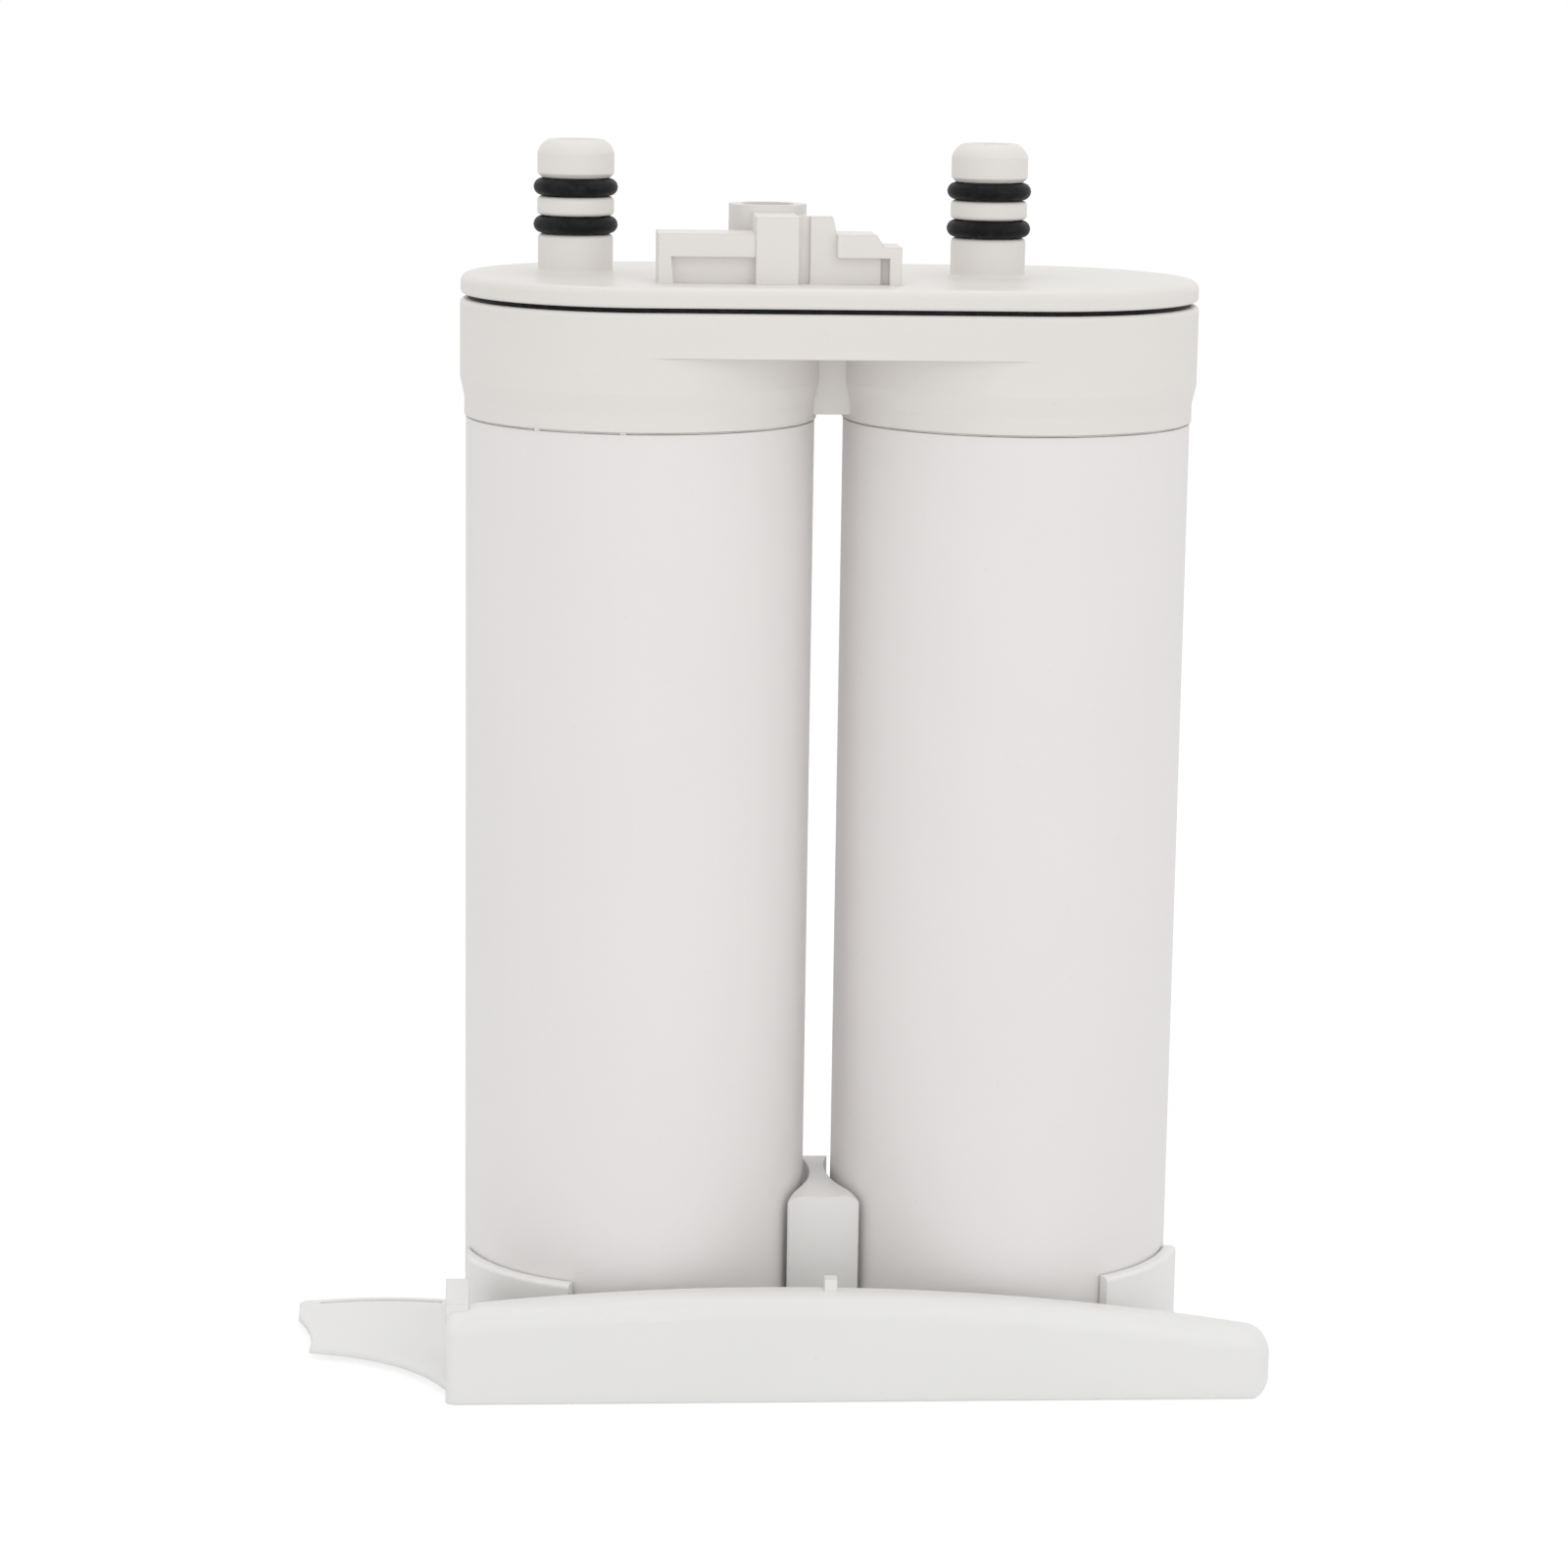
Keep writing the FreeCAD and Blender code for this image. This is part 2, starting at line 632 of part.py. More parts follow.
def portPlate():
    plate = body("port_plate")
    plan = sketch(plate, "plate_plan", lift="plate_z")
    stadium(plan, "axis_x", "plate_r")
    pad(plate, plan, "plate_pad", "plate_thick")
    roundEdges(plate, "plate_top_round", "plate_round",
               lambda e: level(e, amount("plate_top_z")))
    roundEdges(plate, "plate_bottom_round", "plate_under_round",
               lambda e: level(e, amount("plate_z")))
    # square-shouldered bracket with a latch recess under its front lip
    rise = sketch(plate, "bracket_elevation", "XZ_Plane", lift="bracket_front-bracket_deep")
    outline(rise, [
        ("bracket_x0", "plate_top_z-1", None),
        ("bracket_x1", "plate_top_z-1", None),
        ("bracket_x1", "bracket_top_z-bracket_step_drop", None),
        ("bracket_x1-bracket_step_in+bracket_step_slant", "bracket_top_z-bracket_step_drop", None),
        ("bracket_x1-bracket_step_in", "bracket_top_z", None),
        ("bracket_x0", "bracket_top_z", None),
    ])
    pad(plate, rise, "bracket", "bracket_deep")
    latch = sketch(plate, "latch_elevation", "XZ_Plane", lift="bracket_front-latch_deep")
    outline(latch, [
        ("bracket_x0+latch_end_left+latch_leg_slant", "plate_top_z", None),
        ("bracket_x1-latch_end_right", "plate_top_z", None),
        ("bracket_x1-latch_end_right", "latch_top_z", None),
        ("bracket_x0+latch_end_left", "latch_top_z", None),
    ])
    pocket(plate, latch, "latch_recess", "latch_deep", reverse=True)
    opening = sketch(plate, "lip_gap_elevation", "XZ_Plane", lift="bracket_front-latch_deep")
    box(opening, "key_x1-0.5", "plate_top_z", "fin_foot_x", "bracket_top_z+1")
    pocket(plate, opening, "lip_gap", "latch_deep", reverse=True)
    boss = sketch(plate, "boss_plan", lift="plate_top_z-1")
    circle(boss, "boss_x", "-boss_back", "boss_r")
    pad(plate, boss, "rear_boss", "boss_rise+1")
    key = sketch(plate, "key_plan", lift="plate_top_z-1")
    box(key, "key_x0", "-bracket_front-key_proud", "key_x1", "-boss_back-2")
    pad(plate, key, "key_block", "key_rise+1")
    fin = sketch(plate, "fin_elevation", "XZ_Plane",
                 lift="bracket_front-latch_deep-fin_thick")
    outline(fin, [
        ("key_x1-0.3", "plate_top_z-1", None),
        ("fin_foot_x", "plate_top_z-1", None),
        ("fin_foot_x", "bracket_top_z", None),
        ("fin_x1", "plate_top_z+key_rise", None),
        ("key_x1-0.3", "plate_top_z+key_rise", None),
    ])
    pad(plate, fin, "key_fin", "fin_thick")
    slots = sketch(plate, "slot_elevation", "XZ_Plane",
                   lift="bracket_front-latch_deep-slot_deep")
    box(slots, "key_x1", "plate_top_z", "fin_x0", "plate_top_z+key_rise+1")
    box(slots, "bracket_x1-latch_end_right-slot_wide", "plate_top_z",
        "bracket_x1-latch_end_right", "latch_top_z")
    pocket(plate, slots, "slots", "slot_deep", reverse=True)
    well = sketch(plate, "boss_bore_plan", lift="plate_top_z+boss_rise")
    circle(well, "boss_x", "-boss_back", "boss_bore_r")
    pocket(plate, well, "boss_bore", "boss_bore_deep")
    for name, x in (("inlet", "inlet_x"), ("outlet", "outlet_x")):
        half = sketch(plate, name + "_profile", "XZ_Plane", across=x)
        spigotProfile(half)
        turned(plate, half, name + "_spigot")
        bore = sketch(plate, name + "_bore_plan", lift="plate_z")
        circle(bore, x, "0", "spigot_bore_r")
        pocket(plate, bore, name + "_bore", "plate_thick", reverse=True)
    return plate


# cartridge: head

def headGasket():
    band = body("head_gasket")
    plan = sketch(band, "gasket_plan", lift="head_top_z")
    stadium(plan, "axis_x", "head_r-gasket_inset")
    stadium(plan, "axis_x", "head_r-head_wall+0.1")
    pad(band, plan, "gasket_pad", "reveal")
    return band


def manifoldHead():
    head = body("manifold_head")
    plan = sketch(head, "slab_plan", lift="slab_z")
    stadium(plan, "axis_x", "head_r")
    pad(head, plan, "slab", "slab_thick")
    roundEdges(head, "slab_top_round", "head_rim_round",
               lambda e: level(e, amount("head_top_z")))
    cavity = sketch(head, "cavity_plan", lift="head_top_z")
    stadium(cavity, "axis_x", "head_r-head_wall")
    pocket(head, cavity, "cavity", "slab_thick-slab_floor")
    for name, x in (("left", "-axis_x"), ("right", "axis_x")):
        half = sketch(head, name + "_skirt_profile", "XZ_Plane", across=x)
        outline(half, [
            ("lip_r+skirt_fit", "skirt_z", None),
            ("skirt_r", "skirt_z", None),
            ("skirt_r", "skirt_z+skirt_straight", None),
            ("head_r", "skirt_z+skirt_straight+skirt_taper", None),
            ("head_r", "slab_z+0.5", None),
            ("lip_r+skirt_fit", "slab_z+0.5", None),
        ])
        turned(head, half, name + "_skirt")
    web = sketch(head, "web_plan", lift="skirt_z+web_rise")
    box(web, "-web_half", "-half_web", "web_half", "half_web")
    pad(head, web, "web", "skirt_height-web_rise+0.5")
    walls = sketch(head, "cross_wall_plan", lift="slab_z+slab_floor-0.2")
    box(walls, "-half_wall", "corridor_half", "half_wall", "head_r-head_wall")
    box(walls, "-half_wall", "-head_r+head_wall", "half_wall", "-corridor_half")
    pad(head, walls, "cross_wall", "slab_thick-slab_floor+reveal+0.2")
    rings = (("left", "-axis_x", "left_ring_r"), ("right", "axis_x", "right_ring_r"))
    for name, x, r in rings:
        ring = sketch(head, name + "_ring_plan", lift="slab_z+slab_floor-0.2")
        circle(ring, x, "0", r)
        circle(ring, x, "0", r + "+chamber_wall")
        pad(head, ring, name + "_ring", "slab_thick-slab_floor+reveal+0.2")
    corridor = sketch(head, "corridor_plan", lift="slab_z+slab_floor-0.2")
    box(corridor, "-axis_x+left_ring_r-0.5", "corridor_half", "0", "corridor_half+chamber_wall")
    box(corridor, "-axis_x+left_ring_r-0.5", "-corridor_half-chamber_wall", "0", "-corridor_half")
    pad(head, corridor, "corridor", "slab_thick-slab_floor+reveal+0.2")
    opening = sketch(head, "corridor_cut_plan", lift="slab_z+slab_floor")
    box(opening, "-axis_x+left_ring_r-1.5", "-corridor_cut", "-axis_x+left_ring_r+chamber_wall",
        "corridor_cut")
    pocket(head, opening, "corridor_cut", "slab_thick-slab_floor+reveal", reverse=True)
    for name, x, r in rings:
        socket = sketch(head, name + "_socket_plan", lift="slab_z+0.5")
        circle(socket, x, "0", "socket_r")
        circle(socket, x, "0", "socket_r+socket_wall")
        pad(head, socket, name + "_socket", "socket_drop+0.5", reverse=True)
        neck = sketch(head, name + "_neck_hole_plan", lift="slab_z+slab_floor")
        circle(neck, x, "0", "neck_bore_r")
        pocket(head, neck, name + "_neck_hole", "slab_floor")
        ways = sketch(head, name + "_water_plan", lift="slab_z+slab_floor")
        for step in range(6):
            turn = math.radians(30 + 60 * step)
            waterHole(ways, x, math.cos(turn), math.sin(turn))
        pocket(head, ways, name + "_water_holes", "slab_floor")
    nibs = sketch(head, "nib_plan", lift="seam_z")
    for x in ("-axis_x-nib_left", "-axis_x-nib_right"):
        y = "nib_left_y" if x.endswith("left") else "nib_right_y"
        box(nibs, x + "-nib_wide", "-" + y + "-0.3", x + "-0", "-" + y + "+0.6")
    pad(head, nibs, "seam_nibs", "seam_gap+0.2")
    return head


def waterHole(sk, x, c, s):
    # one hole of the ring that feeds the space around the filter block
    geo = sk.addGeometry(Part.Circle(V(amount(x) + 20 * c, 20 * s, 0), V(0, 0, 1), 2.5))
    for kind, text in (
        ("DistanceX", "%s + %.6f * Dims.water_hole_circle" % (bound(x), c)),
        ("DistanceY", "%.6f * Dims.water_hole_circle" % s),
    ):
        index = sk.addConstraint(Sketcher.Constraint(kind, -1, 1, geo, 3, 1))
        sk.setExpression("Constraints[%d]" % index, text)
    radius(sk, geo, "water_hole_r")


# cartridge: shells, elements and rings

def shell(name, x):
    can = body(name)
    half = sketch(can, name + "_profile", "XZ_Plane")
    outline(half, [
        ("0", "seat_z+1", None),
        ("canister_r-14", "seat_z+1", None),
        ("canister_r-15", "seat_z", None),
        ("canister_r-shell_foot_round", "seat_z", None),
        ("canister_r", "seat_z+shell_foot_round", (1, "shell_foot_round")),
        ("canister_r", "seam_z", None),
        ("lip_r", "seam_z", None),
        ("lip_r", "seam_z+shell_lip_rise", None),
        ("shell_in_r", "seam_z+shell_lip_rise", None),
        ("shell_in_r", "seat_z+shell_floor", None),
        ("centring_r", "seat_z+shell_floor", None),
        ("centring_r", "centring_top_z", None),
        ("centring_r-centring_wall", "centring_top_z", None),
        ("centring_r-centring_wall", "seat_z+shell_floor", None),
        ("0", "seat_z+shell_floor", None),
    ])
    turned(can, half, name + "_wall")
    place(can, x)
    return can


def tube(name, x, inner, outer, low, high):
    made = body(name)
    half = sketch(made, name + "_profile", "XZ_Plane")
    box(half, inner, low, outer, high)
    turned(made, half, name + "_tube")
    place(made, x)
    return made


def coreTube(name, x):
    core = tube(name, x, "core_bore_r", "core_r-0.1", "block_z", "block_top_z")
    for role, way in (("XZ_Plane", "a"), ("YZ_Plane", "b")):
        holes = sketch(core, name + "_holes_" + way, role)
        geo = circle(holes, "0", "block_z+core_hole_pitch", "core_hole_r")
        drilled = core.newObject("PartDesign::Pocket", name + "_drill_" + way)
        drilled.Profile = holes
        drilled.Type = 1
        drilled.Midplane = True
        rows = core.newObject("PartDesign::LinearPattern", name + "_rows_" + way)
        rows.Originals = [drilled]
        rows.Direction = (holes, ["V_Axis"])
        rows.Occurrences = 12
        rows.setExpression("Length", "(Dims.block_top_z - Dims.block_z"
                           " - 2 * Dims.core_hole_pitch)")
        core.Tip = rows
    return core


def lowerCap(name, x):
    cap = body(name)
    half = sketch(cap, name + "_profile", "XZ_Plane")
    stub = "centring_r-centring_wall-stub_ease"
    outline(half, [
        ("0", "centring_top_z-centring_rise+0.3", None),
        (stub, "centring_top_z-centring_rise+0.3", None),
        (stub, "centring_top_z", None),
        ("cap_r", "centring_top_z", None),
        ("cap_r", "block_z+cap_rim_rise", None),
        ("cap_r-cap_rim", "block_z+cap_rim_rise", None),
        ("cap_r-cap_rim", "block_z", None),
        ("0", "block_z", None),
    ])
    turned(cap, half, name + "_disc")
    place(cap, x)
    return cap


def upperCap(name, x):
    cap = body(name)
    half = sketch(cap, name + "_profile", "XZ_Plane")
    low = "neck_z+neck_groove_low"
    outline(half, [
        ("neck_bore_r", "block_top_z", None),
        ("cap_r-cap_rim", "block_top_z", None),
        ("cap_r-cap_rim", "block_top_z-cap_rim_rise", None),
        ("cap_r", "block_top_z-cap_rim_rise", None),
        ("cap_r", "neck_z", None),
        ("neck_r", "neck_z", None),
        ("neck_r", low, None),
        ("neck_groove_r", low, None),
        ("neck_groove_r", low + "+neck_groove_wide", None),
        ("neck_r", low + "+neck_groove_wide", None),
        ("neck_r", "neck_z+neck_rise-0.6", None),
        ("neck_r-0.6", "neck_z+neck_rise", None),
        ("neck_bore_r", "neck_z+neck_rise", None),
    ])
    turned(cap, half, name + "_disc")
    place(cap, x)
    return cap


def sealRing(name, x, middle, section, height):
    ring = body(name)
    half = sketch(ring, name + "_section", "XZ_Plane")
    circle(half, middle, height, section)
    turned(ring, half, name + "_ring")
    place(ring, x)
    return ring


def checkAll():
    for item in doc.Objects:
        bad = [word for word in item.State if word in ("Invalid", "Error")]
        if bad:
            raise ValueError(item.Label + " is " + str(item.State))


def export(bodies):
    for made in bodies:
        shape = made.Shape
        if shape.isNull() or not shape.isValid() or not shape.Solids:
            raise ValueError(made.Label + " has no valid solid")
        shape.exportStep("parts/" + made.Label + ".step")
        print(made.Label, len(shape.Solids), round(shape.Volume, 1),
              [round(v, 2) for v in (shape.BoundBox.XMin, shape.BoundBox.XMax,
                                     shape.BoundBox.YMin, shape.BoundBox.YMax,
                                     shape.BoundBox.ZMin, shape.BoundBox.ZMax)])


DERIVED += [
    ("clip_in_y_left", "=sqrt(clip_in_r ^ 2 - clip_start_left ^ 2)"),
    ("clip_out_x_left", "=clip_start_left * clip_out_r / clip_in_r"),
    ("clip_out_y_left", "=clip_in_y_left * clip_out_r / clip_in_r"),
    ("clip_in_y_right", "=sqrt(clip_in_r ^ 2 - clip_start_right ^ 2)"),
    ("clip_out_x_right", "=clip_start_right * clip_out_r / clip_in_r"),
    ("clip_out_y_right", "=clip_in_y_right * clip_out_r / clip_in_r"),
    ("clip_stop_in_x", "=sqrt(clip_in_r ^ 2 - clip_stop_y ^ 2)"),
    ("clip_stop_out_x", "=clip_stop_in_x * clip_out_r / clip_in_r"),
    ("clip_stop_out_y", "=clip_stop_y * clip_out_r / clip_in_r"),
    ("clip_cut_in_y", "=sqrt(clip_in_r ^ 2 - clip_cut_x ^ 2)"),
    ("clip_cut_out_y", "=sqrt(clip_out_r ^ 2 - clip_cut_x ^ 2)"),
    ("web_half", "=canister_gap / 2 + 0.7"),
    ("half_web", "=web_depth / 2"),
    ("half_wall", "=chamber_wall / 2"),
    ("corridor_cut", "=corridor_half - 0.6"),
    ("nose_bend_r", "=nose_taper_rise + 1.2"),
    ("nib_left", "=canister_r * 0.58"),
    ("nib_left_y", "=canister_r * 0.8"),
    ("nib_right", "=canister_r * 0.11"),
    ("nib_right_y", "=canister_r * 0.985"),
]

fillSheet()
made = [
    faceCover(),
    cradleFrame(),
    portPlate(),
    headGasket(),
    manifoldHead(),
    shell("left_shell", "-axis_x"),
    shell("right_shell", "axis_x"),
]
for side, x in (("left", "-axis_x"), ("right", "axis_x")):
    made.append(tube(side + "_carbon_block", x, "core_r", "block_r", "block_z", "block_top_z"))
    made.append(tube(side + "_prefilter_wrap", x, "block_r", "wrap_r", "block_z", "block_top_z"))
    made.append(coreTube(side + "_core_tube", x))
    made.append(lowerCap(side + "_lower_cap", x))
    made.append(upperCap(side + "_upper_cap", x))
    made.append(sealRing(side + "_neck_ring", x, "neck_ring_mid_r", "neck_ring_r",
                         "neck_z+neck_groove_low+1.25"))
for port, x in (("inlet", "inlet_x"), ("outlet", "outlet_x")):
    made.append(sealRing(port + "_upper_ring", x, "ring_mid_r", "ring_section_r",
                         "nose_z-groove_wide/2"))
    made.append(sealRing(port + "_lower_ring", x, "ring_mid_r", "ring_section_r",
                         "collar_z-groove_wide/2"))
doc.recompute()
checkAll()
export(made)
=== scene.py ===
import json
import math
import bpy
from mathutils import Matrix, Vector


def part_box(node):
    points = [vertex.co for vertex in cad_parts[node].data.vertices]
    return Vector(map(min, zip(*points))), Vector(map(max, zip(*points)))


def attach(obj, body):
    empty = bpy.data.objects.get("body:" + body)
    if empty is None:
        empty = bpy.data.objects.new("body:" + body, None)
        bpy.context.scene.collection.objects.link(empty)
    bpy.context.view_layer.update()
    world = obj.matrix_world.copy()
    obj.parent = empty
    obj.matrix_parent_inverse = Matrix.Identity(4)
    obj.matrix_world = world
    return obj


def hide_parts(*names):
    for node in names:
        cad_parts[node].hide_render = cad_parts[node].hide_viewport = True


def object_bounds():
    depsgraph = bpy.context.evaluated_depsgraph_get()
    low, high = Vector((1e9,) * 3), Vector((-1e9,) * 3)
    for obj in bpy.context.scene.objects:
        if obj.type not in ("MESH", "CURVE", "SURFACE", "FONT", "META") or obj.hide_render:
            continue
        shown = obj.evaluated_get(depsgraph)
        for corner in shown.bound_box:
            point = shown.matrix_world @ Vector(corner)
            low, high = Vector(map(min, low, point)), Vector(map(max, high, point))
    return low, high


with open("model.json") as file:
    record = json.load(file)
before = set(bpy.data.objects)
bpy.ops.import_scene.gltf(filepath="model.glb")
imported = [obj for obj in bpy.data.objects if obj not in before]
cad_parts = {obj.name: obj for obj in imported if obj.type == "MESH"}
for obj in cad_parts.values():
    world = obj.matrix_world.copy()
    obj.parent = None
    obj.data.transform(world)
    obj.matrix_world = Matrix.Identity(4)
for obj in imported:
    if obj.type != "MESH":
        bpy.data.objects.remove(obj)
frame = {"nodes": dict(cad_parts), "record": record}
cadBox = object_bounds()
scene = bpy.context.scene
print("frame loaded:", len(frame["nodes"]), "nodes")

mixSockets = {"factor": 0, "low": 6, "high": 7, "result": 2}    # of a Mix node for colour
plainWhite = (1, 1, 1, 1)


class Signal:
    # one socket of a material, so that masks are written as plain sums and products

    def __init__(self, tree, socket):
        self.tree = tree
        self.socket = socket

    def node(self, kind, settings=None, inputs=None, output=0):
        made = self.tree.nodes.new(kind)
        for name, value in (settings or {}).items():
            setattr(made, name, value)
        for name, value in (inputs or {}).items():
            if isinstance(value, Signal):
                self.tree.links.new(value.socket, made.inputs[name])
            else:
                made.inputs[name].default_value = value
        return Signal(self.tree, made.outputs[output])

    def maths(self, operation, first, second):
        return self.node("ShaderNodeMath", {"operation": operation}, {0: first, 1: second})

    def __add__(self, other):
        return self.maths("ADD", self, other)

    def __radd__(self, other):
        return self.maths("ADD", other, self)

    def __mul__(self, other):
        return self.maths("MULTIPLY", self, other)

    def __rmul__(self, other):
        return self.maths("MULTIPLY", other, self)

    def band(self, low, high):
        # 0 below low, 1 above high, smooth between
        return self.node("ShaderNodeMapRange", {"interpolation_type": "SMOOTHSTEP"},
                         {"Value": self, "From Min": low, "From Max": high})

    def noise(self, scale, detail, roughness, distortion=0.0):
        return self.node("ShaderNodeTexNoise", None,
                         {"Vector": self, "Scale": scale, "Detail": detail,
                          "Roughness": roughness, "Distortion": distortion})

    def stretched(self, scale):
        return self.node("ShaderNodeMapping", None, {"Vector": self, "Scale": scale})

    def blended(self, low, high):
        # a colour from low to high by this mask
        low, high = (colour if isinstance(colour, Signal) else (*colour, 1)
                     for colour in (low, high))
        return self.node("ShaderNodeMix", {"data_type": "RGBA"},
                         {mixSockets["factor"]: self, mixSockets["low"]: low,
                          mixSockets["high"]: high}, mixSockets["result"])


def newMaterial(name, constants):
    # a Principled material with its fixed sockets set, and its object coordinates
    material = bpy.data.materials.new(name)
    material.use_nodes = True
    tree = material.node_tree
    shader = tree.nodes["Principled BSDF"]
    for socket, value in constants.items():
        shader.inputs[socket].default_value = value
    coordinates = tree.nodes.new("ShaderNodeTexCoord")
    return material, shader, Signal(tree, coordinates.outputs["Object"])


def feed(shader, socket, signal):
    signal.tree.links.new(signal.socket, shader.inputs[socket])


def feedBump(shader, height, strength, distance, softEdge=None):
    inputs = {"Height": height, "Strength": strength, "Distance": distance}
    if softEdge:    # rounds the look of sharp edges under the bump
        inputs["Normal"] = height.node("ShaderNodeBevel", {"samples": 6},
                                       {"Radius": softEdge})
    feed(shader, "Normal", height.node("ShaderNodeBump", None, inputs))


def mouldedPlastic(name, look):
    material, shader, place = newMaterial(name, {
        "Specular IOR Level": look["gloss"], "Subsurface Weight": look["glow"],
        "Subsurface Radius": look["glowReach"], "Subsurface Scale": look["glowScale"]})
    cloud = place.noise(look["cloudScale"], detail=4.0, roughness=0.55)
    flow = place.stretched(look["flow"]).noise(
        look["flowScale"], detail=3.0, roughness=0.6, distortion=0.4)
    grain = place.noise(look["grainScale"], detail=2.0, roughness=0.6)
    specks = place.noise(look["speckScale"], detail=1.0, roughness=0.4)
    tone = (cloud * look["cloudShare"] + flow * look["flowShare"]).band(*look["toneBand"])
    base = tone.blended(look["shade"], look["light"])
    feed(shader, "Base Color",
         specks.band(*look["speckBand"]).blended(base, look["speck"]))
    feed(shader, "Roughness", flow * look["roughSwing"] + look["rough"])
    relief = grain * look["grainRelief"] + flow * look["flowRelief"]
    feedBump(shader, relief, look["bump"], look["bumpDeep"], look["softEdge"])
    return material


def sealRubber(name, look):
    material, shader, place = newMaterial(name, {
        "Specular IOR Level": look["gloss"], "Coat Roughness": look["greaseRough"],
        "Coat IOR": look["greaseIndex"]})
    smear = place.noise(look["smearScale"], detail=3.0, roughness=0.6, distortion=0.8)
    grain = place.noise(look["grainScale"], detail=2.0, roughness=0.5)
    bloom = smear.band(*look["bloomBand"])
    feed(shader, "Base Color", bloom.blended(look["dark"], look["bloom"]))
    feed(shader, "Roughness", smear * look["roughSwing"] + look["rough"])
    feed(shader, "Coat Weight", smear.band(*look["greaseBand"]) * look["grease"])
    feedBump(shader, grain, look["bump"], look["bumpDeep"])
    return material


def sinteredCarbon(name, look):
    material, shader, place = newMaterial(name, {"Specular IOR Level": look["gloss"]})
    grains = place.node("ShaderNodeTexVoronoi", {"feature": "F1"},
                        {"Vector": place, "Scale": look["grainScale"]})
    cloud = place.noise(look["cloudScale"], detail=5.0, roughness=0.7)
    pits = place.noise(look["pitScale"], detail=2.0, roughness=0.5).band(*look["pitBand"])
    tone = cloud.band(*look["toneBand"])
    feed(shader, "Base Color", tone.blended(look["dark"], look["light"]))
    feed(shader, "Roughness", look["rough"] + cloud * look["roughSwing"])
    relief = grains * look["grainRelief"] + pits * look["pitRelief"]
    feedBump(shader, relief, look["bump"], look["bumpDeep"])
    return material


def fibreFelt(name, look):
    material, shader, place = newMaterial(name, {
        "Specular IOR Level": look["gloss"], "Sheen Weight": look["fuzz"],
        "Sheen Roughness": look["fuzzRough"]})
    around, along = (
        place.stretched(look[way]).noise(
            look["fibreScale"], detail=4.0, roughness=0.7, distortion=1.2)
        for way in ("around", "along"))
    fibres = around * 0.5 + along * 0.5
    tone = fibres.band(*look["toneBand"])
    feed(shader, "Base Color", tone.blended(look["shade"], look["light"]))
    feed(shader, "Roughness", look["rough"] + fibres * look["roughSwing"])
    feedBump(shader, fibres, look["bump"], look["bumpDeep"])
    return material


plasticLook = {
    "gloss": 0.42, "glow": 0.06, "glowReach": (0.004, 0.0036, 0.003), "glowScale": 0.5,
    "cloudScale": 22.0, "flow": (1.0, 1.0, 0.25), "flowScale": 60.0,
    "grainScale": 2600.0, "speckScale": 900.0, "speckBand": (0.74, 0.80),
    "cloudShare": 0.6, "flowShare": 0.4, "toneBand": (0.35, 0.68),
    "rough": 0.34, "roughSwing": 0.12, "grainRelief": 0.55, "flowRelief": 0.45,
    "bump": 0.18, "bumpDeep": 0.00006, "softEdge": 0.00035,
}

coverLook = dict(plasticLook, light=(0.868, 0.863, 0.848), shade=(0.855, 0.85, 0.835),
                 speck=(0.84, 0.835, 0.82), rough=0.30, flow=(0.3, 1.0, 1.0))
cradleLook = dict(plasticLook, light=(0.90, 0.89, 0.875), shade=(0.89, 0.88, 0.865),
                  speck=(0.87, 0.86, 0.845))
headLook = dict(plasticLook, light=(0.825, 0.80, 0.77), shade=(0.81, 0.785, 0.755),
                speck=(0.79, 0.765, 0.735), flow=(0.3, 1.0, 1.0))
canisterLook = dict(plasticLook, light=(0.86, 0.836, 0.828),
                    shade=(0.848, 0.824, 0.816), speck=(0.83, 0.806, 0.798), rough=0.33)
capLook = dict(plasticLook, light=(0.70, 0.73, 0.75), shade=(0.66, 0.69, 0.72),
               speck=(0.6, 0.63, 0.66), glow=0.15)
coreLook = dict(plasticLook, light=(0.74, 0.75, 0.76), shade=(0.70, 0.71, 0.72),
                speck=(0.64, 0.65, 0.66), glow=0.15)
rubberLook = {
    "dark": (0.004, 0.004, 0.005), "bloom": (0.011, 0.012, 0.014), "bloomBand": (0.4, 0.75),
    "smearScale": 420.0, "grainScale": 5200.0, "gloss": 0.16, "rough": 0.42,
    "roughSwing": 0.2, "grease": 0.12, "greaseBand": (0.42, 0.6), "greaseRough": 0.22,
    "greaseIndex": 1.4, "bump": 0.25, "bumpDeep": 0.00004,
}
carbonLook = {
    "dark": (0.010, 0.010, 0.011), "light": (0.035, 0.035, 0.036), "toneBand": (0.3, 0.7),
    "grainScale": 900.0, "cloudScale": 160.0, "pitScale": 1200.0, "pitBand": (0.3, 0.5),
    "gloss": 0.3, "rough": 0.7, "roughSwing": 0.3, "grainRelief": 0.6, "pitRelief": 0.4,
    "bump": 0.8, "bumpDeep": 0.0003,
}
feltLook = {
    "light": (0.82, 0.82, 0.80), "shade": (0.66, 0.66, 0.63), "toneBand": (0.35, 0.6),
    "fibreScale": 700.0, "around": (1.0, 1.0, 6.0), "along": (5.0, 5.0, 1.0),
    "gloss": 0.2, "fuzz": 0.3, "fuzzRough": 0.6, "rough": 0.85, "roughSwing": 0.12,
    "bump": 0.7, "bumpDeep": 0.0003,
}

